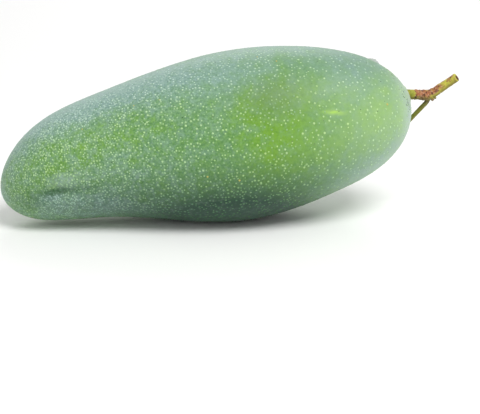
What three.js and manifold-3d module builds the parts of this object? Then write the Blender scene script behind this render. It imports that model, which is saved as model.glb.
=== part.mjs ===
// A long green mango with its cut stalk, lying on a small flat spot.
// Millimetres. +X runs from the tip of the fruit towards the stalk and +Z is up.
// The origin is on the surface, under the middle of the whole thing.
import * as THREE from "three";
import Module from "manifold-3d";

// Fruit. Its axis runs from the tip to the stem end and climbs towards the stem.
const fruitLength = 170;
const axisClimb = THREE.MathUtils.degToRad(11.4);
// Half height at seven even stations, as the size of the ellipse that the section would belong to.
const fullness = [30.7, 29.8, 29.7, 33.8, 35.9, 37.4, 39.7];
// How far the middle line rises off the axis at the same stations.
const middleRise = [0, 5.0, 4.5, 2.2, 1.2, 0.5, 0];
// Thickness from side to side as a share of the height, at the tip and from the belly on.
const tipThickness = 0.88;
const bellyThickness = 0.94;
const bellyStart = 0.45;
// The middle line also bows to the far side a little, as a fruit that hung from a twig does.
const sideBow = 1.2;
const fruitRings = 46;
const fruitSides = 44;

// The dimple and crease beside the tip, on the near side.
const dimpleStation = 0.13;
const dimpleLength = 7;
const dimpleWidth = 3;
const dimpleDepth = 0.9;
const dimpleTurn = THREE.MathUtils.degToRad(189);
const creaseTwist = THREE.MathUtils.degToRad(115);
const creaseDepth = 0.35;
const creaseStation = 0.2;
const creaseLength = 16;

// The flat spot under the belly.
const flatDepth = 0.6;

// Stalk. Its points are [along, across, up] from the fruit's stem end.
const socketGap = 0.3;
const socketDepth = 2.6;
const stubRadius = 2.03;
const stubPoints = [[-2.6, 0.4, 3.2], [-0.2, 0.5, 3.0], [3.9, 0.6, 2.8], [7.9, 1.0, 2.5], [9.4, 1.0, 3.2]];
const stubRadii = [2.0, 2.03, 2.0, 2.25, 1.9];
const branchPoints = [[6.8, 0.9, 2.4], [9.5, 0.9, 3.2], [12.8, 0.2, 5.6], [15.7, -1.0, 8.0], [18.3, -2.5, 10.4]];
const branchRadii = [1.8, 1.95, 1.85, 1.75, 1.8];
const twigPoints = [[8.0, 1.0, 1.8], [7.6, 1.3, -0.1], [5.8, 2.6, -2.9], [3.7, 4.2, -6.0], [1.2, 7.6, -10.6]];
const twigRadii = [1.0, 0.95, 0.92, 0.9, 0.85];
// Short scars of side twigs that dropped off: root, end and radius.
const knobs = [
  { from: [8.4, 0.8, 2.0], to: [9.7, -0.3, 0.5], radius: 0.65 },
  { from: [9.0, 1.0, 2.6], to: [11.0, 0.4, 1.0], radius: 0.6 },
  { from: [12.4, 0.3, 5.2], to: [13.1, 0.1, 3.7], radius: 0.8 },
];
const limbSides = 14;
const twigSides = 10;
const knobSides = 8;
const ringSpacing = 0.9;
const endRounding = 0.3;

const wasm = await Module();
wasm.setup();

// A smooth curve through values at even stations from 0 to 1.
function through(values, station) {
  const last = values.length - 1;
  let sum = 0;
  for (let i = 0; i <= last; i++) {
    let term = values[i];
    for (let j = 0; j <= last; j++) {
      if (j !== i) term *= (last * station - j) / (i - j);
    }
    sum += term;
  }
  return sum;
}

// How deep the dimple and its crease are pressed in at a place on the skin.
function pressedIn(station, turn, halfHeight) {
  const creaseTurn = dimpleTurn + creaseTwist * (station - dimpleStation);
  const across = (turn - creaseTurn) * halfHeight / dimpleWidth;
  const alongDimple = (station - dimpleStation) * fruitLength / dimpleLength;
  const alongCrease = (station - creaseStation) * fruitLength / creaseLength;
  const dimple = dimpleDepth * Math.exp(-(alongDimple ** 2));
  const crease = creaseDepth * Math.exp(-(alongCrease ** 2));
  return (dimple + crease) * Math.exp(-(across ** 2));
}

// A point of the skin: station runs from 0 at the tip to 1 at the stem end, turn goes round the axis.
function skinPoint(station, turn) {
  const halfHeight = 2 * Math.sqrt(station * (1 - station)) * through(fullness, station);
  const blend = THREE.MathUtils.smoothstep(station, 0, bellyStart);
  const share = THREE.MathUtils.lerp(tipThickness, bellyThickness, blend);
  const reach = halfHeight - pressedIn(station, turn, halfHeight);
  const along = fruitLength * station;
  const across = sideBow * Math.sin(Math.PI * station) + share * reach * Math.cos(turn);
  const rise = through(middleRise, station) + reach * Math.sin(turn);
  return new THREE.Vector3(
    along * Math.cos(axisClimb) - rise * Math.sin(axisClimb),
    across,
    along * Math.sin(axisClimb) + rise * Math.cos(axisClimb),
  );
}

// A closed skin over rings of points, with a single point closing each end.
function skinOver(rings, startPoint, endPoint) {
  const sides = rings[0].length;
  const points = [startPoint, ...rings.flat(), endPoint];
  const endIndex = points.length - 1;
  const at = (ring, side) => 1 + ring * sides + (side % sides);
  const index = [];
  for (let side = 0; side < sides; side++) {
    index.push(0, at(0, side + 1), at(0, side));
    for (let ring = 0; ring < rings.length - 1; ring++) {
      index.push(at(ring, side), at(ring, side + 1), at(ring + 1, side + 1));
      index.push(at(ring, side), at(ring + 1, side + 1), at(ring + 1, side));
    }
    index.push(endIndex, at(rings.length - 1, side), at(rings.length - 1, side + 1));
  }
  return toSolid(points.flatMap((point) => point.toArray()), index);
}

function toSolid(positions, index) {
  const vertProperties = new Float32Array(positions);
  const triVerts = new Uint32Array(index);
  return new wasm.Manifold(new wasm.Mesh({ numProp: 3, vertProperties, triVerts }));
}

function toGeometry(solid) {
  const mesh = solid.getMesh();
  const geometry = new THREE.BufferGeometry();
  geometry.setAttribute("position", new THREE.BufferAttribute(mesh.vertProperties, 3));
  geometry.setIndex(new THREE.BufferAttribute(mesh.triVerts, 1));
  geometry.computeVertexNormals();
  return geometry;
}

function boxSolid(low, high) {
  const corners = [];
  for (const z of [low.z, high.z]) {
    corners.push([low.x, low.y, z], [high.x, low.y, z], [high.x, high.y, z], [low.x, high.y, z]);
  }
  const index = [0, 2, 1, 0, 3, 2, 4, 5, 6, 4, 6, 7];
  for (let side = 0; side < 4; side++) {
    const next = (side + 1) % 4;
    index.push(side, next, 4 + next, side, 4 + next, 4 + side);
  }
  return toSolid(corners.flat(), index);
}

function fruitBody() {
  const rings = [];
  for (let ring = 1; ring < fruitRings; ring++) {
    const station = (1 - Math.cos(Math.PI * ring / fruitRings)) / 2;
    const points = [];
    for (let side = 0; side < fruitSides; side++) {
      points.push(skinPoint(station, 2 * Math.PI * side / fruitSides));
    }
    rings.push(points);
  }
  return skinOver(rings, skinPoint(0, 0), skinPoint(1, 0));
}

// A round limb along a smooth curve, with slightly rounded ends.
function limb(points, radii, sides) {
  const route = new THREE.CatmullRomCurve3(points);
  const steps = Math.max(2, Math.round(route.getLength() / ringSpacing));
  const frames = route.computeFrenetFrames(steps, false);
  const rings = [];
  for (let step = 0; step <= steps; step++) {
    const share = step / steps;
    const middle = route.getPointAt(share);
    const place = share * (radii.length - 1);
    const before = Math.min(Math.floor(place), radii.length - 2);
    const radius = THREE.MathUtils.lerp(radii[before], radii[before + 1], place - before);
    const atEnd = step === 0 || step === steps;
    rings.push(ringRound(middle, frames, step, atEnd ? radius - endRounding : radius, sides));
  }
  return skinOver(rings, route.getPointAt(0), route.getPointAt(1));
}

function ringRound(middle, frames, step, radius, sides) {
  const points = [];
  for (let side = 0; side < sides; side++) {
    const turn = 2 * Math.PI * side / sides;
    const point = middle.clone();
    point.addScaledVector(frames.normals[step], radius * Math.cos(turn));
    point.addScaledVector(frames.binormals[step], radius * Math.sin(turn));
    points.push(point);
  }
  return points;
}

const stemEnd = skinPoint(1, 0);
const fromStem = (offset) => new THREE.Vector3(...offset).add(stemEnd);

function stalkBody() {
  const stub = limb(stubPoints.map(fromStem), stubRadii, limbSides);
  const branch = limb(branchPoints.map(fromStem), branchRadii, limbSides);
  const twig = limb(twigPoints.map(fromStem), twigRadii, twigSides);
  let whole = stub.add(branch).add(twig);
  for (const knob of knobs) {
    const ends = [knob.from, knob.to].map(fromStem);
    whole = whole.add(limb(ends, [knob.radius, knob.radius], knobSides));
  }
  return whole;
}

// The shallow hollow that the stalk stands in, a little wider and deeper than the stalk's root.
function stalkSocket() {
  const root = fromStem(stubPoints[0]);
  const mouth = fromStem(stubPoints[1]);
  const outward = mouth.clone().sub(root).normalize();
  const floor = mouth.clone().addScaledVector(outward, -socketDepth - socketGap);
  const outside = mouth.clone().addScaledVector(outward, socketDepth);
  const radius = stubRadius + socketGap + endRounding;
  return limb([floor, outside], [radius, radius], limbSides);
}

const lowest = fruitBody().boundingBox().min[2];
const floorHeight = lowest + flatDepth;
const flatCut = boxSolid(
  new THREE.Vector3(0, -fruitLength / 2, lowest - flatDepth),
  new THREE.Vector3(fruitLength, fruitLength / 2, floorHeight),
);
const fruit = fruitBody().subtract(flatCut).subtract(stalkSocket());
const stalk = stalkBody();

const fruitSkin = new THREE.MeshStandardMaterial({ color: 0x7aa570, roughness: 0.55, metalness: 0 });
const stalkBark = new THREE.MeshStandardMaterial({ color: 0x9c7d3c, roughness: 0.8, metalness: 0 });

const fruitMesh = new THREE.Mesh(toGeometry(fruit), fruitSkin);
fruitMesh.name = "fruit";
const stalkMesh = new THREE.Mesh(toGeometry(stalk), stalkBark);
stalkMesh.name = "stalk";

const mango = new THREE.Group();
mango.add(fruitMesh, stalkMesh);
const extent = new THREE.Box3().setFromObject(mango);
const middle = extent.getCenter(new THREE.Vector3());
mango.position.set(-middle.x, -middle.y, -floorHeight);

export default mango;
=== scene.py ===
# A long green mango with its cut stalk, lying on a plain pale table
import math

import bpy
import numpy as np
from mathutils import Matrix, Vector, noise


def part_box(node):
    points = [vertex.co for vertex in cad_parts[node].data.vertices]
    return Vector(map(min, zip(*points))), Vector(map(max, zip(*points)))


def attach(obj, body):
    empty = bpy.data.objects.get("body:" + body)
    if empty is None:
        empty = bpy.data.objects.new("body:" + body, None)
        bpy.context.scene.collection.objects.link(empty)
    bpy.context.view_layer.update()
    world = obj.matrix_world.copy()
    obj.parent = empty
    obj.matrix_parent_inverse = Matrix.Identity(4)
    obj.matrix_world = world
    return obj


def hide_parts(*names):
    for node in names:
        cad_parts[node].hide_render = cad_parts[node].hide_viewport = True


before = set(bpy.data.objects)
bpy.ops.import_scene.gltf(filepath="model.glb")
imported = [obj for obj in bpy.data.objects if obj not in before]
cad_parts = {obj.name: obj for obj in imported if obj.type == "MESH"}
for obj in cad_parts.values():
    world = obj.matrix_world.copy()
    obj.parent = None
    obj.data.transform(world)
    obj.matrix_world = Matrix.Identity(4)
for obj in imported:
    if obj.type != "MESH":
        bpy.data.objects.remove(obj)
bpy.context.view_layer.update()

mm = 0.001
print("frame loaded")


# Small helpers
def hexColour(text):
    parts = [int(text[i:i + 2], 16) / 255 for i in (1, 3, 5)]
    return [p / 12.92 if p <= 0.04045 else ((p + 0.055) / 1.055) ** 2.4 for p in parts] + [1.0]


def addNode(tree, kind, settings=None, inputs=None):
    node = tree.nodes.new(kind)
    for name, value in (settings or {}).items():
        setattr(node, name, value)
    for socket, value in (inputs or {}).items():
        if isinstance(value, bpy.types.NodeSocket):
            tree.links.new(value, node.inputs[socket])
        else:
            node.inputs[socket].default_value = value
    return node


def newMaterial(name):
    material = bpy.data.materials.new(name)
    material.use_nodes = True
    material.node_tree.nodes.clear()
    return material, material.node_tree


def closeSurface(tree, inputs):
    # ends a material with its shader and its way out
    shader = addNode(tree, "ShaderNodeBsdfPrincipled", {}, inputs)
    addNode(tree, "ShaderNodeOutputMaterial", {}, {"Surface": shader.outputs[0]})


def smoothStep(low, high, value):
    share = np.clip((value - low) / (high - low), 0, 1)
    return share * share * (3 - 2 * share)


def hump(value, width):
    return np.exp(-(value / width) ** 2)


cloudStep = (7.3, 3.1, 5.7)    # how far each seed moves on through the noise
cloudSeeds = {
    "swell": 1, "dent": 2, "drift": 3, "smallDrift": 4, "scuff": 5, "speck": 6, "scar": 8,
    "bark": 9, "barkGrain": 10, "patch": 12, "waver": 14, "ring": 15, "streak": 21,
}


def cloud(points, size, seedName):
    # soft noise from -1 to 1 whose lumps are about size millimetres across
    shift = Vector([cloudSeeds[seedName] * step for step in cloudStep])
    return np.array([noise.noise(Vector(p) / size + shift) for p in points])


def buildMesh(name, points, faces, material):
    mesh = bpy.data.meshes.new(name)
    mesh.from_pydata([tuple(p) for p in points * mm], [], faces)
    mesh.polygons.foreach_set("use_smooth", [True] * len(mesh.polygons))
    mesh.materials.append(material)
    mesh.validate()
    piece = bpy.data.objects.new(name, mesh)
    bpy.context.scene.collection.objects.link(piece)
    return piece


def storeMasks(piece, masks):
    # one number per point, from 0 to 1, for the materials to read
    for name, values in masks.items():
        layer = piece.data.attributes.new(name, "FLOAT", "POINT")
        layer.data.foreach_set("value", np.clip(values, 0, 1).astype(np.float32))


def finishPiece(piece, replaced=None):
    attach(piece, "root")
    if replaced:
        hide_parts(replaced)
    print(piece.name, len(piece.data.polygons), "faces")


# The fruit's own form, in millimetres and degrees. Its axis runs from the tip to the stem end.
fruit = {
    "length": 170, "climb": 11.4,
    "fullness": [30.7, 29.8, 29.7, 33.8, 35.9, 37.4, 39.7],   # half heights at even stations
    "middleRise": [0, 5.0, 4.5, 2.2, 1.2, 0.5, 0],            # middle line above the axis
    "tipThickness": 0.88, "bellyThickness": 0.94, "bellyStart": 0.45, "sideBow": 1.2,
    "rings": 300, "sides": 256, "flatDepth": 0.6,
    "dimpleStation": 0.13, "dimpleTurn": 189, "dimpleLength": 7, "dimpleWidth": 3, "dimpleDepth": 0.9,
    "creaseTwist": 115, "creaseDepth": 0.35, "creaseStation": 0.2, "creaseLength": 16,
    "swellSize": 17, "swellHeight": 0.16, "dentSize": 5, "dentHeight": 0.03,
}


def through(values, station):
    # a smooth curve through values at even stations from 0 to 1
    last = len(values) - 1
    total = np.zeros_like(station)
    for i, value in enumerate(values):
        term = np.full_like(station, value)
        for j in range(last + 1):
            if j != i:
                term = term * (last * station - j) / (i - j)
        total += term
    return total


def halfHeight(station):
    return 2 * np.sqrt(station * (1 - station)) * through(fruit["fullness"], station)


def aroundFrom(turn, middle):
    # the way round from middle to turn, from -pi to pi
    return (turn - middle + math.pi) % (2 * math.pi) - math.pi


def creaseTurn(station):
    # the turn at which the crease from the dimple runs
    offset = station - fruit["dimpleStation"]
    return math.radians(fruit["dimpleTurn"]) + math.radians(fruit["creaseTwist"]) * offset


def pressedIn(station, turn, height):
    across = hump(aroundFrom(turn, creaseTurn(station)) * height, fruit["dimpleWidth"])
    alongDimple = (station - fruit["dimpleStation"]) * fruit["length"]
    alongCrease = (station - fruit["creaseStation"]) * fruit["length"]
    dimple = fruit["dimpleDepth"] * hump(alongDimple, fruit["dimpleLength"])
    return across * (dimple + fruit["creaseDepth"] * hump(alongCrease, fruit["creaseLength"]))


def barePoints(station, turn):
    height = halfHeight(station)
    thickening = fruit["bellyThickness"] - fruit["tipThickness"]
    share = fruit["tipThickness"] + thickening * smoothStep(0, fruit["bellyStart"], station)
    reach = height - pressedIn(station, turn, height)
    along = fruit["length"] * station
    across = fruit["sideBow"] * np.sin(math.pi * station) + share * reach * np.cos(turn)
    rise = through(fruit["middleRise"], station) + reach * np.sin(turn)
    climb = math.radians(fruit["climb"])
    return np.stack([along * math.cos(climb) - rise * math.sin(climb), across,
                     along * math.sin(climb) + rise * math.cos(climb)], axis=-1)


def outwardAt(station, turn):
    # the skin's outward direction, from two short steps on the surface
    step = 1e-4
    inside = np.clip(station, 2 * step, 1 - 2 * step)
    along = barePoints(inside + step, turn) - barePoints(inside - step, turn)
    around = barePoints(inside, turn + step) - barePoints(inside, turn - step)
    normal = np.cross(around, along)
    return normal / np.linalg.norm(normal, axis=-1, keepdims=True)


def skinGrid():
    ringAngles = np.arange(1, fruit["rings"]) * math.pi / fruit["rings"]
    station = (1 - np.cos(ringAngles)) / 2
    turn = np.arange(fruit["sides"]) * 2 * math.pi / fruit["sides"]
    stations, turns = np.meshgrid(station, turn, indexing="ij")
    return np.concatenate([[0], stations.ravel(), [1]]), np.concatenate([[0], turns.ravel(), [0]])


def skinFaces():
    rings, sides = fruit["rings"] - 1, fruit["sides"]
    last = rings * sides + 1
    faces = []
    for side in range(sides):
        after = (side + 1) % sides
        faces.append((0, 1 + after, 1 + side))
        for ring in range(rings - 1):
            low, high = 1 + ring * sides, 1 + (ring + 1) * sides
            faces.append((low + side, low + after, high + after, high + side))
        top = 1 + (rings - 1) * sides
        faces.append((last, top + side, top + after))
    return faces


stationAt, turnAt = skinGrid()
ownPoints = barePoints(stationAt, turnAt)

# From the fruit's own axes to the shared frame, by the CAD fruit's box
fruitLow, fruitHigh = [np.array(corner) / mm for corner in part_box("fruit")]
ownLow, ownHigh = ownPoints.min(axis=0), ownPoints.max(axis=0)
toShared = (fruitLow + fruitHigh - ownLow - ownHigh) / 2
toShared[2] = -ownLow[2] - fruit["flatDepth"]
stemEnd = barePoints(np.array(1.0), np.array(0.0)) + toShared


# The camera looks at the fruit's flank a little from above, stem end slightly further away
camera = {"lens": 100, "sensor": 36, "distance": 551.1, "azimuth": -6, "elevation": 18,
          "aim": (96.9, 0, -9.2),    # from the tip, along the shared frame's axes
          "nearest": 10}


def addCamera(spec):
    data = bpy.data.cameras.new("camera")
    data.lens = spec["lens"]
    data.sensor_width = spec["sensor"]
    data.clip_start = spec["nearest"] * mm
    turn, climb = math.radians(spec["azimuth"]), math.radians(spec["elevation"])
    back = Vector((math.sin(turn) * math.cos(climb), -math.cos(turn) * math.cos(climb), math.sin(climb)))
    eye = bpy.data.objects.new("camera", data)
    eye.location = (Vector(toShared) + Vector(spec["aim"]) + back * spec["distance"]) * mm
    eye.rotation_euler = (-back).to_track_quat("-Z", "Y").to_euler()
    bpy.context.scene.collection.objects.link(eye)
    bpy.context.scene.camera = eye


addCamera(camera)
print("camera placed")


# The stalk's limbs, first because the skin's lip and specks go round its root.
# Points are [along, across, up] from the stem end, in millimetres. The knobs are scars of dropped twigs.
stalk = {
    "stub": {
        "points": [
            (-2.6, 0.4, 3.2), (-0.2, 0.5, 3.0), (3.9, 0.6, 2.8), (7.9, 1.0, 2.5), (9.4, 1.0, 3.2)],
        "radii": [2.0, 2.03, 2.0, 2.25, 1.9]},
    "branch": {
        "points": [
            (6.8, 0.9, 2.4), (9.5, 0.9, 3.2), (12.8, 0.2, 5.6), (15.7, -1.0, 8.0), (18.3, -2.5, 10.4)],
        "radii": [1.8, 1.95, 1.85, 1.75, 1.8]},
    "twig": {
        "points": [
            (8.0, 1.0, 1.8), (7.6, 1.3, -0.1), (5.8, 2.6, -2.9), (3.7, 4.2, -6.0), (1.2, 7.6, -10.6)],
        "radii": [1.0, 0.95, 0.92, 0.9, 0.85]},
    "knobA": {"points": [(8.4, 0.8, 2.0), (9.7, -0.3, 0.5)], "radii": [0.75, 0.6]},
    "knobB": {"points": [(9.0, 1.0, 2.6), (11.0, 0.4, 1.0)], "radii": [0.7, 0.5]},
    "knobC": {"points": [(12.4, 0.3, 5.2), (13.1, 0.1, 3.7)], "radii": [0.9, 0.7]},
}
limbRoutes = {name: np.array(limb["points"]) for name, limb in stalk.items()}


def endDirection(before, end):
    return (end - before) / np.linalg.norm(end - before)


def fromRoot(points):
    # distance from the line that the stalk's root lies on
    rootStart, rootMouth = limbRoutes["stub"][:2]
    rootOutward = endDirection(rootStart, rootMouth)
    offset = points - (rootMouth + stemEnd)
    along = offset @ rootOutward
    return np.linalg.norm(offset - along[:, None] * rootOutward, axis=1)


# Where each look of the skin lies: yellow-green, blue-grey bloom, paler green towards the stem, painted
# shade under the belly and underside, thick whitish bloom that is partly a painted rim sheen along the
# outline, the scratch, and painted shade on the dark side of the dimple.
# Each patch is (station, turn in degrees, reach along in mm, reach around in mm, strength).
# Turn 180 is the camera's side, 90 the top, 0 the back and 270 the underside.
skinPatches = {
    "fresh": [
        (0.665, 160, 14, 23, 1.0), (0.21, 150, 27, 15, 0.55), (0.65, 147, 14, 10, 0.62),
        (0.76, 181, 15, 14, 0.2), (0.94, 172, 13, 14, 0.4), (0.61, 183, 6, 9, 0.3), (0.03, 150, 7, 22, 0.3),
        (0.42, 22, 36, 20, 0.45), (0.78, -8, 22, 24, 0.5), (0.55, 262, 24, 14, 0.2)],
    "bloom": [
        (0.22, 95, 50, 13.5, 1.0), (0.53, 119, 27, 12, 0.45), (0.31, 117, 32, 9, 0.35),
        # (0.126, 197) is a blue-grey spot on the dimple's lower wall: painted light from the sky.
        (0.126, 197, 3, 1.0, 0.9), (0.72, 88, 50, 13, 0.6), (0.17, 224, 38, 10, 0.45),
        (0.36, 203, 34, 11, 0.15), (0.86, 226, 24, 14, 0.6), (0.86, 114, 15, 13, 0.35),
        (0.87, 132, 13, 13, 0.22), (0.29, 180, 26, 10, 0.24), (0.42, 160, 26, 13, 0.1),
        (0.62, 125, 17, 8, 0.3), (0.30, 330, 44, 15, 0.5), (0.70, 52, 30, 18, 0.45),
        (0.75, 318, 30, 14, 0.4)],
    "pale": [(0.95, 181, 31, 28, 0.8), (0.95, 0, 24, 32, 0.7)],
    # Painted shade: the belly, the underside and the back's underside are darkened towards deep teal as if
    # in shadow beneath the fruit. The weaker patches on the upper side and near the stem end only deepen
    # the green a little.
    "shade": [
        (0.54, 226, 30, 19, 1.0), (0.54, 258, 34, 18, 0.9), (0.25, 226, 36, 16, 0.42),
        (0.28, 203, 50, 10, 0.08), (0.50, 290, 50, 22, 0.4), (0.67, 144, 15, 10, 0.38),
        (0.68, 98, 34, 12, 0.1), (0.88, 104, 16, 15, 0.13), (0.86, 150, 16, 14, 0.05)],
    # Thick whitish bloom. Along the stem end's rim, the lower right edge and the top edge near the tip it
    # is a painted rim sheen, the pale edge that light gives the outline.
    "frostAndRimSheen": [
        (0.995, 190, 5, 30, 0.6), (0.90, 234, 22, 9, 0.4), (0.26, 88, 44, 9, 0.4),
        (0.16, 180, 8, 3.5, 0.26)],
    "scratch": [
        (0.796, 161.8, 2.4, 0.7, 1.0), (0.812, 163.8, 2.0, 0.5, 0.6), (0.776, 160.2, 1.5, 0.5, 0.5)],
    # Painted shade: dark green on the upper wall of the dimple, a little way along the crease and towards
    # the tip.
    "hollow": [(0.139, 190.5, 5.5, 1.5, 1.0), (0.19, 193, 9, 1.2, 0.5), (0.09, 196, 7, 4, 0.4)],
}
# The crease's lower side, which faces down, is given blue-grey bloom colour as painted shade.
creaseFacet = {"from": 0.07, "full": 0.11, "fade": 0.26, "to": 0.46,
               "softness": 2.2, "reach": 16, "bloom": 0.35}
# Large and small clouds in which the yellow-green gains on the bloom, or loses to it
skinDrift = {"size": 21, "share": 0.12, "smallSize": 4.2, "smallShare": 0.26, "ofFresh": 0.75}
evenWax = {"from": 0.3, "full": 0.75, "share": 0.6}    # the wax is smoother towards the stem end
# The dimple's painted shade also darkens the dots that lie in it.
hollowDims = 0.8    # how far the dimple's dark side also darkens its dots
# The lip, pale ring and specks round the stalk's root, past the station stemFrom.
# Each radius and reach is in millimetres from the root's middle line.
collar = {"stemFrom": 0.9, "radius": 2.85, "width": 0.55, "height": 0.38,
          "scuffRadius": 3.9, "scuffWidth": 0.9, "scuffMean": 0.6, "scuffLump": 1.2,
          "paleReach": 7, "paleShare": 0.5,
          "speckRadius": 8.8, "speckWidth": 1.8, "speckClump": 3, "speckMean": 0.12, "speckContrast": 1.3}


def patchMask(patches):
    height = halfHeight(stationAt)
    total = np.zeros_like(stationAt)
    for station, turn, along, around, strength in patches:
        byLength = hump((stationAt - station) * fruit["length"], along)
        total += strength * byLength * hump(aroundFrom(turnAt, math.radians(turn)) * height, around)
    return total


def shadeBelowCrease(spec):
    # painted shade: the lower side of the crease that runs from the dimple faces down and is given the
    # blue-grey bloom colour
    below = aroundFrom(turnAt, creaseTurn(stationAt)) * halfHeight(stationAt)
    along = smoothStep(spec["from"], spec["full"], stationAt)
    along = along * (1 - smoothStep(spec["fade"], spec["to"], stationAt))
    return spec["bloom"] * along * smoothStep(0, spec["softness"], below) * hump(below, spec["reach"])


def skinMasks(points, nearRoot, atStem):
    drift = skinDrift["share"] * cloud(points, skinDrift["size"], "drift")
    drift += skinDrift["smallShare"] * cloud(points, skinDrift["smallSize"], "smallDrift")
    masks = {name: patchMask(patches) for name, patches in skinPatches.items()}
    masks["fresh"] += skinDrift["ofFresh"] * drift
    masks["bloom"] += shadeBelowCrease(creaseFacet) - drift
    broken = collar["scuffMean"] + cloud(points, collar["scuffLump"], "scuff")
    ring = hump(nearRoot - collar["scuffRadius"], collar["scuffWidth"]) * broken
    masks["scuff"] = (ring + collar["paleShare"] * hump(nearRoot, collar["paleReach"])) * atStem
    clumps = collar["speckMean"] + collar["speckContrast"] * cloud(points, collar["speckClump"], "speck")
    masks["rootSpecks"] = hump(nearRoot - collar["speckRadius"], collar["speckWidth"]) * clumps * atStem
    # the dots are darkened where the skin has painted shade, under the belly and in the dimple
    masks["shadeOnDots"] = masks["shade"] + hollowDims * masks["hollow"]
    masks["even"] = evenWax["share"] * smoothStep(evenWax["from"], evenWax["full"], stationAt)
    return masks


def makeSkin(material):
    points = ownPoints + toShared
    nearRoot = fromRoot(points)
    atStem = stationAt > collar["stemFrom"]
    swell = fruit["swellHeight"] * cloud(points, fruit["swellSize"], "swell")
    dents = fruit["dentHeight"] * cloud(points, fruit["dentSize"], "dent")
    lip = collar["height"] * hump(nearRoot - collar["radius"], collar["width"]) * atStem
    points = points + outwardAt(stationAt, turnAt) * (swell + dents + lip)[:, None]
    points[:, 2] = np.maximum(points[:, 2], 0)
    piece = buildMesh("fruitSkin", points, skinFaces(), material)
    storeMasks(piece, skinMasks(points, nearRoot, atStem))
    return piece


# Steps that the materials share
def layered(tree, base, *coats):
    # the base colour under coats of (share, colour), where a colour is a hex text or a socket
    for share, coat in coats:
        under, over = [hexColour(c) if isinstance(c, str) else c for c in (base, coat)]
        node = addNode(tree, "ShaderNodeMix", {"data_type": "RGBA"}, {0: share, 6: under, 7: over})
        base = node.outputs[2]
    return base


def spreadNoise(tree, place, spec):
    # noise with lumps of size millimetres, stretched so that it runs all the way from 0 to 1
    raw = addNode(tree, "ShaderNodeTexNoise", {}, {
        "Vector": place, "Scale": 1 / (spec["size"] * mm), "Detail": spec["detail"], "Roughness": 0.6})
    return addNode(tree, "ShaderNodeMapRange", {}, {
        "Value": raw.outputs["Fac"], "From Min": spec["low"], "From Max": spec["high"]}).outputs[0]


def unevenly(tree, mask, noiseValue, reach):
    # the mask, made uneven by a noise of mean one half
    lifted = addNode(tree, "ShaderNodeMath", {"operation": "MULTIPLY_ADD"}, {
        0: noiseValue, 1: reach, 2: -reach / 2})
    return addNode(tree, "ShaderNodeMath", {"operation": "ADD", "use_clamp": True}, {
        0: mask, 1: lifted.outputs[0]}).outputs[0]


def calmed(tree, noiseValue, share):
    # the noise, brought closer to one half by share
    node = addNode(tree, "ShaderNodeMix", {"data_type": "FLOAT"}, {0: share, 2: noiseValue, 3: 0.5})
    return node.outputs[0]


def product(tree, first, *others):
    # all the values multiplied together
    for other in others:
        first = addNode(tree, "ShaderNodeMath", {"operation": "MULTIPLY"}, {0: first, 1: other}).outputs[0]
    return first


def storedMasks(tree, names):
    # what storeMasks and the dots' tree wrote on the mesh
    return {name: addNode(tree, "ShaderNodeAttribute", {"attribute_name": name}).outputs["Fac"]
            for name in names}


# Ripening mango skin: a tough green peel under natural wax.
# The wax gives a satin gloss and a blue-grey bloom, thin where the peel shows yellow-green.
# The deep teal is painted shade under the belly, the dark green is painted shade in the dimple, and the
# whitish bloom colour is partly a painted rim sheen along the outline.
skinColours = {"peel": "#74a360", "deepPeel": "#497a41", "fresh": "#7aab22", "deepFresh": "#5a8f20",
               "bloom": "#98b5aa", "deepBloom": "#6c9086", "pale": "#9cc07c", "shade": "#0b3c26",
               "frostAndRimSheen": "#b3c8c1", "scuff": "#b4c6aa", "scratch": "#a6cf58", "hollow": "#2f5e30"}
skinFinish = {"Roughness": 0.5, "IOR": 1.45, "Sheen Weight": 0.12, "Sheen Roughness": 0.45,
              "Sheen Tint": hexColour("#e6f0ee"), "Subsurface Weight": 0.12,
              "Subsurface Radius": (0.6, 1.0, 0.4), "Subsurface Scale": 1.5 * mm}
# Grains of wax are too fine to show, so the grain is drawn coarser than they are
skinNoises = {"grain": {"size": 0.8, "detail": 3.0, "low": 0.34, "high": 0.66},
              "blotch": {"size": 2.4, "detail": 3.0, "low": 0.32, "high": 0.68},
              "wax": {"size": 1.68, "detail": 4.0, "low": 0.34, "high": 0.66}}
skinEdges = {"fresh": 0.45, "pale": 0.16, "bloom": 0.42, "frostAndRimSheen": 0.2}    # how uneven each look's edge is
skinBump = {"height": 0.03, "strength": 0.6}


def waxyPeel():
    material, tree = newMaterial("waxyMangoPeel")
    place = addNode(tree, "ShaderNodeTexCoord").outputs["Object"]
    masks = storedMasks(tree, list(skinPatches) + ["scuff", "even"])
    grain = calmed(tree, spreadNoise(tree, place, skinNoises["grain"]), masks["even"])
    wax = calmed(tree, spreadNoise(tree, place, skinNoises["wax"]), masks["even"])
    blotch = spreadNoise(tree, place, skinNoises["blotch"])
    noiseOf = {"fresh": blotch, "pale": blotch, "bloom": wax, "frostAndRimSheen": wax}
    shares = {name: unevenly(tree, masks[name], noiseOf[name], reach) for name, reach in skinEdges.items()}
    tones = skinColours
    skin = layered(
        tree, layered(tree, tones["deepPeel"], (grain, tones["peel"])),
        (shares["fresh"], layered(tree, tones["deepFresh"], (grain, tones["fresh"]))),
        (shares["pale"], tones["pale"]),
        (shares["bloom"], layered(tree, tones["deepBloom"], (grain, tones["bloom"]))),
        # painted shade in the dimple, painted shade under the belly, then whitish bloom that is partly a
        # painted rim sheen
        (masks["hollow"], tones["hollow"]),
        (masks["shade"], tones["shade"]),
        (shares["frostAndRimSheen"], tones["frostAndRimSheen"]),
        (masks["scuff"], tones["scuff"]),
        (masks["scratch"], tones["scratch"]))
    bump = addNode(tree, "ShaderNodeBump", {}, {
        "Height": grain, "Distance": skinBump["height"] * mm, "Strength": skinBump["strength"]})
    closeSurface(tree, {"Base Color": skin, "Normal": bump.outputs[0], **skinFinish})
    return material


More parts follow.
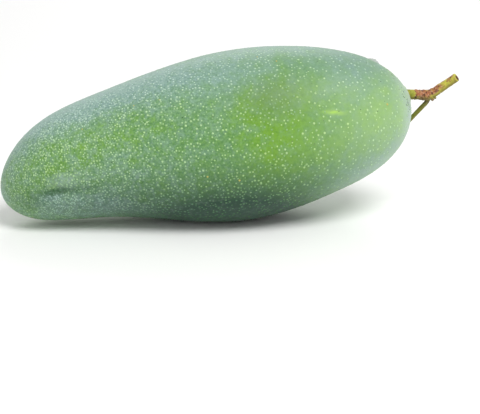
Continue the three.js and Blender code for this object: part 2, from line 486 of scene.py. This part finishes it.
# Lenticels: corky pores that stand a little above the peel, small and crowded at the tip.
# Each zone runs along X: dots start at "from", are all there by "full", thin out after "fade", end at "to".
tipLenticels = {
    "zones": [
        {"from": -100, "full": -98, "fade": -78, "to": -56, "spacing": 1.3, "radius": (0.3, 0.48)},
        {"from": -84, "full": -66, "fade": -50, "to": -16, "spacing": 1.52, "radius": (0.3, 0.54)},
    ],
    "flatness": 0.2, "clearOfTable": 1.2, "seed": 11,
}
bellyLenticels = {
    "zones": [
        {"from": -54, "full": -22, "fade": 6, "to": 38, "spacing": 2.15, "radius": (0.32, 0.58)},
        {"from": 0, "full": 36, "fade": 98, "to": 100, "spacing": 2.9, "radius": (0.35, 0.66)},
    ],
    "flatness": 0.2, "clearOfTable": 1.2, "seed": 12,
}
# Dead specks: tiny dark spots of dried sap and sooty mould round the stem end
specks = {
    "zones": [
        {"from": 50, "full": 54, "fade": 98, "to": 100, "spacing": 0.7, "radius": (0.12, 0.34),
         "mask": "rootSpecks"},
        {"from": -90, "full": -60, "fade": 60, "to": 80, "spacing": 11, "radius": (0.14, 0.26)},
    ],
    "flatness": 0.3, "clearOfTable": 1.2, "seed": 4,
}
# A dot is a low cone shaded smooth. leastGap is the nearest neighbour as a share of the mean spacing,
# and crowding is how many dots are tried for it.
dotForm = {"sides": 8, "steps": 2, "sunk": 0.15, "leastGap": 0.48, "crowding": 1.78,
           "sizeSeed": 20, "toneSeed": 5}


def rampUp(tree, value, low, high):
    # a soft rise from 0 to 1 between two places in millimetres
    return addNode(tree, "ShaderNodeMapRange", {"interpolation_type": "SMOOTHSTEP"}, {
        "Value": value, "From Min": low * mm, "From Max": high * mm}).outputs[0]


def dotTree(name, zones, flatness, clearOfTable):
    # scatters low cones over a surface, zone by zone along X, and stores how near its crown each point is
    tree = bpy.data.node_groups.new(name, "GeometryNodeTree")
    tree.is_modifier = True
    for socketName, kind in (("Surface", "NodeSocketGeometry"), ("Size", "NodeSocketFloat"),
                             ("Share", "NodeSocketFloat"), ("Seed", "NodeSocketInt"),
                             ("Material", "NodeSocketMaterial")):
        tree.interface.new_socket(socketName, in_out="INPUT", socket_type=kind)
    tree.interface.new_socket("Dots", in_out="OUTPUT", socket_type="NodeSocketGeometry")
    given = addNode(tree, "NodeGroupInput").outputs
    position = addNode(tree, "GeometryNodeInputPosition").outputs[0]
    place = addNode(tree, "ShaderNodeSeparateXYZ", {}, {0: position}).outputs
    cone = addNode(tree, "GeometryNodeMeshCone", {}, {
        "Vertices": dotForm["sides"], "Side Segments": dotForm["steps"], "Radius Top": 0.0,
        "Radius Bottom": mm, "Depth": mm})
    crowned = addNode(tree, "GeometryNodeStoreNamedAttribute", {"data_type": "FLOAT", "domain": "POINT"}, {
        "Geometry": cone.outputs["Mesh"], "Name": "crown", "Value": product(tree, place["Z"], 1 / mm)})
    flat = addNode(tree, "GeometryNodeTransform", {}, {
        "Geometry": crowned.outputs[0], "Scale": (1.0, 1.0, flatness),
        "Translation": (0, 0, -dotForm["sunk"] * flatness * mm)})
    smooth = addNode(tree, "GeometryNodeSetShadeSmooth", {}, {"Geometry": flat.outputs[0]})
    aboveTable = rampUp(tree, place["Z"], clearOfTable / 2, clearOfTable)
    joined = addNode(tree, "GeometryNodeJoinGeometry")
    for number, zone in enumerate(zones):
        rising = rampUp(tree, place["X"], zone["from"], zone["full"])
        falling = rampUp(tree, place["X"], zone["to"], zone["fade"])
        share = product(tree, rising, falling, aboveTable, given["Share"])
        if "mask" in zone:
            stored = addNode(tree, "GeometryNodeInputNamedAttribute", {"data_type": "FLOAT"}, {
                "Name": zone["mask"]})
            share = product(tree, share, stored.outputs["Attribute"])
        seed = addNode(tree, "ShaderNodeMath", {"operation": "ADD"}, {0: given["Seed"], 1: float(number)})
        spread = addNode(tree, "GeometryNodeDistributePointsOnFaces", {"distribute_method": "POISSON"}, {
            "Mesh": given["Surface"], "Distance Min": dotForm["leastGap"] * zone["spacing"] * mm,
            "Density Max": dotForm["crowding"] / (zone["spacing"] * mm) ** 2, "Density Factor": share,
            "Seed": seed.outputs[0]})
        size = addNode(tree, "FunctionNodeRandomValue", {"data_type": "FLOAT"}, {
            2: zone["radius"][0], 3: zone["radius"][1], "Seed": dotForm["sizeSeed"] + number})
        placed = addNode(tree, "GeometryNodeInstanceOnPoints", {}, {
            "Points": spread.outputs["Points"], "Instance": smooth.outputs[0],
            "Rotation": spread.outputs["Rotation"], "Scale": product(tree, size.outputs[1], given["Size"])})
        tree.links.new(placed.outputs[0], joined.inputs[0])
    tone = addNode(tree, "FunctionNodeRandomValue", {"data_type": "FLOAT"}, {"Seed": dotForm["toneSeed"]})
    toned = addNode(tree, "GeometryNodeStoreNamedAttribute", {"data_type": "FLOAT", "domain": "INSTANCE"}, {
        "Geometry": joined.outputs[0], "Name": "tone", "Value": tone.outputs[1]})
    real = addNode(tree, "GeometryNodeRealizeInstances", {}, {"Geometry": toned.outputs[0]})
    painted = addNode(tree, "GeometryNodeSetMaterial", {}, {
        "Geometry": real.outputs[0], "Material": given["Material"]})
    addNode(tree, "NodeGroupOutput", {}, {0: painted.outputs[0]})
    return tree


def scatterDots(name, surface, tree, values):
    # runs the tree once over a copy of the surface and keeps its dots as a plain mesh
    piece = bpy.data.objects.new(name, surface.data.copy())
    bpy.context.scene.collection.objects.link(piece)
    modifier = piece.modifiers.new(name, "NODES")
    modifier.node_group = tree
    for socket in tree.interface.items_tree:
        if socket.in_out == "INPUT" and socket.name in values:
            modifier[socket.identifier] = values[socket.name]
    evaluated = piece.evaluated_get(bpy.context.evaluated_depsgraph_get())
    plain = bpy.data.meshes.new_from_object(evaluated)
    piece.modifiers.remove(modifier)
    piece.data = plain
    return piece


# Lenticel cork: dry and matt, paler than the peel, whitish where wax lies over it, fading out at its edge,
# and darker where the skin has painted shade
dotColours = {"onPeel": "#b8db99", "onFresh": "#b9db84", "onPale": "#c6e3a4", "onBloom": "#c4dcd1",
              "dull": "#80aa70", "dullOnPale": "#aed194", "dullOnBloom": "#a9c8bb", "inShade": "#426c52",
              "rust": "#c0b768", "edge": "#4b7a41", "edgeOnPale": "#7ba262", "edgeOnBloom": "#6c9082"}
dotTones = {"dullShare": 0.88, "shadeShare": 0.85, "rustAbove": 0.9975, "edgeTo": -0.08, "paleFrom": 0.5}
dotFinish = {"Roughness": 0.75, "IOR": 1.45, "Specular IOR Level": 0.3}


def lenticelCork():
    material, tree = newMaterial("paleLenticelCork")
    masks = storedMasks(tree, ("fresh", "bloom", "pale", "shadeOnDots", "tone", "crown"))
    tones = dotColours
    rusty = addNode(tree, "ShaderNodeMath", {"operation": "GREATER_THAN"}, {
        0: masks["tone"], 1: dotTones["rustAbove"]})
    inside = addNode(tree, "ShaderNodeMapRange", {}, {
        "Value": masks["crown"], "From Min": dotTones["edgeTo"], "From Max": dotTones["paleFrom"]})
    bright = layered(tree, tones["onPeel"], (masks["fresh"], tones["onFresh"]),
                     (masks["pale"], tones["onPale"]), (masks["bloom"], tones["onBloom"]))
    dull = layered(tree, tones["dull"], (masks["pale"], tones["dullOnPale"]),
                   (masks["bloom"], tones["dullOnBloom"]))
    # the dots take a painted shade colour where the skin has painted shade
    crown = layered(tree, bright, (product(tree, masks["tone"], dotTones["dullShare"]), dull),
                    (product(tree, masks["shadeOnDots"], dotTones["shadeShare"]), tones["inShade"]),
                    (rusty.outputs[0], tones["rust"]))
    edge = layered(tree, tones["edge"], (masks["pale"], tones["edgeOnPale"]),
                   (masks["bloom"], tones["edgeOnBloom"]))
    closeSurface(tree, {"Base Color": layered(tree, edge, (inside.outputs[0], crown)), **dotFinish})
    return material


# Dried sap: nearly black-green and quite matt
speckColours = {"darkest": "#1f3328", "lightest": "#5c7055"}
dryFinish = {"Roughness": 0.85, "IOR": 1.45}


def driedSpeck():
    material, tree = newMaterial("driedSapSpeck")
    tone = storedMasks(tree, ["tone"])["tone"]
    colour = layered(tree, speckColours["darkest"], (tone, speckColours["lightest"]))
    closeSurface(tree, {"Base Color": colour, **dryFinish})
    return material


# A grey corky scar near the stem end, where a leaf rubbed the young fruit
scar = {"station": 0.932, "turn": 86, "reachAlong": 2.2, "reachAround": 1.5, "height": 1.0, "cells": 36,
        "roughMean": 0.75, "roughShare": 0.5, "roughLump": 0.5, "rimFrom": 0.85, "rimSunk": 0.3,
        "grain": 0.5, "dark": "#8f9990", "pale": "#c3cbc6"}


def makeScar(material):
    cells = scar["cells"]
    grid = np.linspace(-1, 1, cells + 1)
    along, around = [g.ravel() for g in np.meshgrid(grid, grid, indexing="ij")]
    far = np.sqrt(along ** 2 + around ** 2)
    square = np.maximum(np.abs(along), np.abs(around))
    toDisc = np.where(far > 0, square / np.maximum(far, 1e-9), 1)    # rounds the square grid to a disc
    along, around = along * toDisc, around * toDisc
    edge = np.sqrt(along ** 2 + around ** 2)
    station = scar["station"] + along * scar["reachAlong"] / fruit["length"]
    turn = math.radians(scar["turn"]) + around * scar["reachAround"] / halfHeight(station)
    points = barePoints(station, turn) + toShared
    rough = scar["roughMean"] + scar["roughShare"] * cloud(points, scar["roughLump"], "scar")
    rim = scar["rimSunk"] * smoothStep(scar["rimFrom"], 1, edge)
    height = scar["height"] * (1 - edge ** 2) * rough - rim
    points = points + outwardAt(station, turn) * height[:, None]
    row = cells + 1
    corners = [i * row + j for i in range(cells) for j in range(cells)]
    faces = [(a, a + row, a + row + 1, a + 1) for a in corners]
    return buildMesh("skinScar", points, faces, material)


# Cork of a healed scar: dry, grey and matt, with a fine grain
def corkyScar():
    material, tree = newMaterial("greyCorkScar")
    place = addNode(tree, "ShaderNodeTexCoord").outputs["Object"]
    grain = addNode(tree, "ShaderNodeTexNoise", {}, {
        "Vector": place, "Scale": 1 / (scar["grain"] * mm), "Detail": 2.0})
    colour = layered(tree, scar["dark"], (grain.outputs["Fac"], scar["pale"]))
    closeSurface(tree, {"Base Color": colour, **dryFinish})
    return material


# How the limbs are fused, and the relief of their bark, in millimetres
stalkForm = {"roundSteps": 8, "lengthSteps": 10, "voxel": 0.14, "smoothing": 0.5, "smoothRounds": 6}
barkRelief = {
    "lump": 1.1, "height": 0.17, "stretch": (0.6, 1, 1), "grainLump": 0.45, "grainShare": 0.5,
    "onGreen": 0.45, "onCork": 0.9, "calmOnCut": 0.8, "calmOnTwig": 0.4,
    "ridgeCount": 9, "ridgeHeight": 0.05, "ridgeMiddle": (0.7, 2.8),
    "ringsAt": [2.6, 4.1, 5.7, 6.4, 7.3, 8.8], "ringWidth": 0.22, "ringHeight": 0.14, "ringLump": 1.1,
    "ringMean": 0.7, "ringContrast": 1.5, "ringMost": 1.4,
    "cutReach": 2.4, "pithShift": (0.4, 0, -0.35), "pithRadius": 1.25, "pithSunk": 0.22, "pithWidth": 0.75,
}
# Height of the stub's and then the branch's middle line, and the one dark knot
limbMiddle = {"along": [0, 7, 9.5, 12.8, 15.7, 18.3], "height": [3.0, 2.4, 3.2, 5.6, 8.0, 10.4]}
darkKnot = {"place": (2.0, -1.35, 2.2), "reach": (0.55, 0.9, 0.45)}
# Where each zone of the bark starts and where it is full, in mm, or in shares for the last four
barkSteps = {
    "pastTwig": (1.0, 1.5), "corkStart": (1.4, 2.6), "corkEnd": (10, 13.5), "cutFace": (-0.32, -0.12),
    "upperSide": (-1.4, 0.9), "greenAlong": (7.2, 9), "aboveGreen": (-0.7, 0.3), "offLimb": (2.05, 2.4),
    "streakUp": (0.85, 1.5), "streakAlong": (9, 11), "sunnyAlong": (6, 11), "pastYoung": (-4.5, -0.5),
    "streak": (-0.05, 0.2), "underSide": (-0.1, 0.65), "pastPith": (0.8, 1.15), "pastKnot": (0.6, 1.0),
}
barkClouds = {"waver": 1.3, "waverReach": 0.8, "patch": 1.6, "streak": 0.9, "streakStretch": (0.3, 1, 1)}
barkShares = {
    "cork": 0.7, "corkOnUpper": 0.4, "corkByPatch": 0.9, "greenByPatch": 0.5,
    "flake": 0.5, "flakeAbove": 0.28, "flakeFrom": 3, "streak": 0.75, "twigUnder": 0.6, "knobUnder": 0.95,
    "sunnyLeast": 0.3, "sunnyGain": 0.64, "young": 0.75, "youngByPatch": 0.8,
}


def limbMesh(name, limb):
    curve = bpy.data.curves.new(name, "CURVE")
    curve.dimensions = "3D"
    curve.bevel_depth = mm
    curve.bevel_resolution = stalkForm["roundSteps"]
    curve.resolution_u = stalkForm["lengthSteps"]
    curve.use_fill_caps = True
    spline = curve.splines.new("BEZIER")
    spline.bezier_points.add(len(limb["points"]) - 1)
    for point, offset, radius in zip(spline.bezier_points, limb["points"], limb["radii"]):
        point.co = (np.array(offset) + stemEnd) * mm
        point.radius = radius
        point.handle_left_type = point.handle_right_type = "AUTO"
    return bpy.data.objects.new(name, curve)


def makeStalk(material):
    limbs = []
    for name, spec in stalk.items():
        limb = limbMesh(name, spec)
        bpy.context.scene.collection.objects.link(limb)
        limbs.append(limb)
    graph = bpy.context.evaluated_depsgraph_get()
    points, faces = [], []
    for limb in limbs:
        mesh = bpy.data.meshes.new_from_object(limb.evaluated_get(graph))
        start = len(points)
        points += [v.co / mm for v in mesh.vertices]
        faces += [tuple(start + i for i in p.vertices) for p in mesh.polygons]
        bpy.data.objects.remove(limb)
    rough = buildMesh("stalkWood", np.array(points), faces, material)
    fused = rough.modifiers.new("fused", "REMESH")
    fused.mode = "VOXEL"
    fused.voxel_size = stalkForm["voxel"] * mm
    fused.use_smooth_shade = True
    soft = rough.modifiers.new("soft", "SMOOTH")
    soft.factor = stalkForm["smoothing"]
    soft.iterations = stalkForm["smoothRounds"]
    plain = bpy.data.meshes.new_from_object(rough.evaluated_get(bpy.context.evaluated_depsgraph_get()))
    rough.modifiers.clear()
    rough.data = plain
    return dressStalk(rough, material)


def nearestOn(points, route):
    # distance from each point to a chain of straight stretches
    best = np.full(len(points), np.inf)
    for start, end in zip(route[:-1], route[1:]):
        line = end - start
        share = np.clip((points - start) @ line / (line @ line), 0, 1)
        best = np.minimum(best, np.linalg.norm(points - start - share[:, None] * line, axis=1))
    return best


def barkStep(name, value):
    return smoothStep(*barkSteps[name], value)


def stalkZones(local):
    # where the twig, the cork and the cut face are, and how far each point is from the pith
    along = local[:, 0]
    wavering = along + barkClouds["waverReach"] * cloud(local, barkClouds["waver"], "waver")
    onTwig = 1 - barkStep("pastTwig", nearestOn(local, limbRoutes["twig"][1:]))
    cork = barkStep("corkStart", wavering) * (1 - barkStep("corkEnd", along)) * (1 - onTwig)
    beforeEnd, branchEnd = limbRoutes["branch"][-2:]
    endOutward = endDirection(beforeEnd, branchEnd)
    beyond = (local - branchEnd) @ endOutward
    offAxis = local - branchEnd - beyond[:, None] * endOutward
    onCut = barkStep("cutFace", beyond) * (np.linalg.norm(offAxis, axis=1) < barkRelief["cutReach"])
    fromPith = np.linalg.norm(offAxis - np.array(barkRelief["pithShift"]), axis=1)
    return {"along": along, "wavering": wavering, "twig": onTwig, "cork": cork, "cut": onCut,
            "fromPith": fromPith}


def reliefOn(local, zones):
    # how far the bark stands out of or sinks into the smooth wood
    spec = barkRelief
    ridgeAcross, ridgeUp = spec["ridgeMiddle"]
    turn = np.arctan2(local[:, 2] - ridgeUp, local[:, 1] - ridgeAcross)
    bark = spec["height"] * cloud(local * spec["stretch"], spec["lump"], "bark")
    bark += spec["grainShare"] * spec["height"] * cloud(local, spec["grainLump"], "barkGrain")
    ridges = spec["ridgeHeight"] * np.sin(turn * spec["ridgeCount"])
    rings = sum(hump(zones["wavering"] - place, spec["ringWidth"]) for place in spec["ringsAt"])
    broken = spec["ringMean"] + spec["ringContrast"] * cloud(local, spec["ringLump"], "ring")
    rings = spec["ringHeight"] * (rings * np.clip(broken, 0, spec["ringMost"]))
    relief = bark * (spec["onGreen"] + spec["onCork"] * zones["cork"])
    relief = relief + ridges * (1 - zones["cut"]) * (1 - zones["cork"]) + rings * zones["cork"]
    relief = relief * (1 - spec["calmOnCut"] * zones["cut"]) * (1 - spec["calmOnTwig"] * zones["twig"])
    return relief - spec["pithSunk"] * zones["cut"] * hump(zones["fromPith"], spec["pithWidth"])


def barkMasks(local, normals, zones):
    along, offTwig, offCut = zones["along"], 1 - zones["twig"], 1 - zones["cut"]
    shares = barkShares
    patchy = cloud(local, barkClouds["patch"], "patch")
    aboveMiddle = local[:, 2] - np.interp(along, limbMiddle["along"], limbMiddle["height"])
    upper = barkStep("upperSide", aboveMiddle)
    greenEdge = aboveMiddle + shares["greenByPatch"] * patchy
    greenBelow = barkStep("greenAlong", along) * (1 - barkStep("aboveGreen", greenEdge))
    toLimb = np.minimum(nearestOn(local, limbRoutes["stub"]), nearestOn(local, limbRoutes["branch"]))
    onKnob = barkStep("offLimb", toLimb) * offTwig
    cork = np.maximum(zones["cork"] * (1 - greenBelow), onKnob)
    corky = cork * (shares["cork"] + shares["corkOnUpper"] * upper + shares["corkByPatch"] * patchy)
    flakes = (patchy > shares["flakeAbove"]) * (along > shares["flakeFrom"])
    corky += shares["flake"] * flakes * upper * offTwig
    streaks = cloud(local * barkClouds["streakStretch"], barkClouds["streak"], "streak")
    streaks = barkStep("streak", streaks) * offTwig * offCut
    corky += shares["streak"] * streaks * barkStep("streakUp", aboveMiddle) * barkStep("streakAlong", along)
    # Painted shade: the bark turns dark brown where it faces down, less so on the twig, and the knobs take
    # the same dark brown.
    under = offCut * (1 - shares["twigUnder"] * zones["twig"]) * barkStep("underSide", -normals[:, 2])
    youngEdge = local[:, 2] + shares["youngByPatch"] * patchy
    offKnot = np.linalg.norm((local - darkKnot["place"]) / np.array(darkKnot["reach"]), axis=1)
    return {
        "cork": corky,
        "under": np.maximum(under, shares["knobUnder"] * onKnob),
        "upper": upper,
        "sunny": shares["sunnyLeast"] + shares["sunnyGain"] * barkStep("sunnyAlong", along),
        "twig": zones["twig"],
        "young": shares["young"] * (1 - barkStep("pastYoung", youngEdge)),
        "cutFace": zones["cut"],
        "pith": zones["cut"] * (1 - barkStep("pastPith", zones["fromPith"] / barkRelief["pithRadius"])),
        "knot": 1 - barkStep("pastKnot", offKnot),
    }


def dressStalk(piece, material):
    mesh = piece.data
    count = len(mesh.vertices)
    points, normals = np.empty(count * 3), np.empty(count * 3)
    mesh.vertices.foreach_get("co", points)
    mesh.vertices.foreach_get("normal", normals)
    points, normals = points.reshape(-1, 3) / mm, normals.reshape(-1, 3)
    local = points - stemEnd
    zones = stalkZones(local)
    moved = (points + normals * reliefOn(local, zones)[:, None]) * mm
    mesh.vertices.foreach_set("co", moved.ravel())
    mesh.update()
    mesh.materials.clear()
    mesh.materials.append(material)
    storeMasks(piece, barkMasks(local, normals, zones))
    return piece


# Green mango wood: a smooth young bark, matt, with dry red-brown cork where it cracked
# The under colour is painted shade for the stalk's underside.
barkColours = {"green": "#7c831b", "lime": "#c8c04c", "redCork": "#a66340", "tanCork": "#957b3c",
               "paleCork": "#cba386", "crack": "#56311c", "under": "#54431c", "twig": "#82823c",
               "darkTwig": "#504525", "youngTwig": "#8f932f", "cut": "#b9b44a", "pith": "#5a3520",
               "knot": "#2c2414"}
barkNoises = {"fine": {"size": 0.9, "detail": 3.0, "low": 0.36, "high": 0.64},
              "broad": {"size": 1.5, "detail": 3.0, "low": 0.34, "high": 0.66},
              "paleCork": {"size": 0.7, "detail": 2.5, "low": 0.5, "high": 0.7},
              "crack": {"size": 0.9, "detail": 2.5, "low": 0.49, "high": 0.62}}
barkEdges = {"sunny": 0.6, "upper": 0.5, "cork": 0.3}    # how uneven each look's edge is
barkBump = {"height": 0.08, "strength": 0.7}
barkFinish = {"Roughness": 0.68, "IOR": 1.45}
# painted shade on the stalk's underside
underShadeShare = 0.65    # how far the underside is darkened


def stalkBark():
    material, tree = newMaterial("greenWoodBark")
    place = addNode(tree, "ShaderNodeTexCoord").outputs["Object"]
    masks = storedMasks(tree, (
        "cork", "upper", "sunny", "twig", "young", "under", "cutFace", "pith", "knot"))
    noises = {name: spreadNoise(tree, place, spec) for name, spec in barkNoises.items()}
    tones = barkColours
    green = layered(
        tree, tones["green"],
        (unevenly(tree, masks["sunny"], noises["broad"], barkEdges["sunny"]), tones["lime"]))
    twig = layered(
        tree, tones["darkTwig"],
        (noises["broad"], tones["twig"]),
        (masks["young"], tones["youngTwig"]))
    cork = layered(
        tree, tones["tanCork"],
        (unevenly(tree, masks["upper"], noises["broad"], barkEdges["upper"]), tones["redCork"]),
        (noises["paleCork"], tones["paleCork"]),
        (noises["crack"], tones["crack"]))
    bark = layered(
        tree, green,
        (masks["twig"], twig),
        (unevenly(tree, masks["cork"], noises["fine"], barkEdges["cork"]), cork),
        (product(tree, masks["under"], underShadeShare), tones["under"]),
        (masks["cutFace"], tones["cut"]),
        (masks["pith"], tones["pith"]),
        (masks["knot"], tones["knot"]))
    bump = addNode(tree, "ShaderNodeBump", {}, {
        "Height": noises["fine"], "Distance": barkBump["height"] * mm, "Strength": barkBump["strength"]})
    closeSurface(tree, {"Base Color": bark, "Normal": bump.outputs[0], **barkFinish})
    return material


skin = makeSkin(waxyPeel())
finishPiece(skin, "fruit")

cork = lenticelCork()
dotPieces = (("tipLenticels", tipLenticels, cork), ("bellyLenticels", bellyLenticels, cork),
             ("drySpecks", specks, driedSpeck()))
for pieceName, spec, dotMaterial in dotPieces:
    tree = dotTree(pieceName, spec["zones"], spec["flatness"], spec["clearOfTable"])
    dots = scatterDots(pieceName, skin, tree, {
        "Size": 1.0, "Share": 1.0, "Seed": spec["seed"], "Material": dotMaterial})
    finishPiece(dots)

finishPiece(makeScar(corkyScar()))
finishPiece(makeStalk(stalkBark()), "stalk")


# A plain pale table and soft studio light, in metres and watts
studio = {
    "tableSize": 6.0, "tableColour": "#fdfdfc", "tableRoughness": 0.8, "skyStrength": 0.45,
    "lamps": [
        {"name": "key", "from": (0.3, -0.5, 0.85), "size": 0.5, "power": 7.4},
        {"name": "fill", "from": (-0.75, -0.6, 0.5), "size": 0.7, "power": 1.2},
        {"name": "rim", "from": (0.1, 0.8, 0.6), "size": 0.6, "power": 2.4},
    ],
}


def addTable(spec):
    material, tree = newMaterial("paleMattTable")
    closeSurface(tree, {"Base Color": hexColour(spec["tableColour"]), "Roughness": spec["tableRoughness"]})
    half = spec["tableSize"] / 2 / mm
    corners = np.array([(-half, -half, 0), (half, -half, 0), (half, half, 0), (-half, half, 0)])
    buildMesh("table", corners, [(0, 1, 2, 3)], material)


def addLight(spec):
    world = bpy.data.worlds.new("softSky")
    world.use_nodes = True
    sky = world.node_tree.nodes["Background"].inputs
    sky["Color"].default_value = (1, 1, 1, 1)
    sky["Strength"].default_value = spec["skyStrength"]
    bpy.context.scene.world = world
    for lamp in spec["lamps"]:
        data = bpy.data.lights.new(lamp["name"], "AREA")
        data.shape = "DISK"
        data.size = lamp["size"]
        data.energy = lamp["power"]
        light = bpy.data.objects.new(lamp["name"], data)
        light.location = lamp["from"]
        light.rotation_euler = (-Vector(lamp["from"])).to_track_quat("-Z", "Y").to_euler()
        bpy.context.scene.collection.objects.link(light)
    bpy.context.scene.view_settings.view_transform = "Standard"


addTable(studio)
addLight(studio)
print("studio lit")
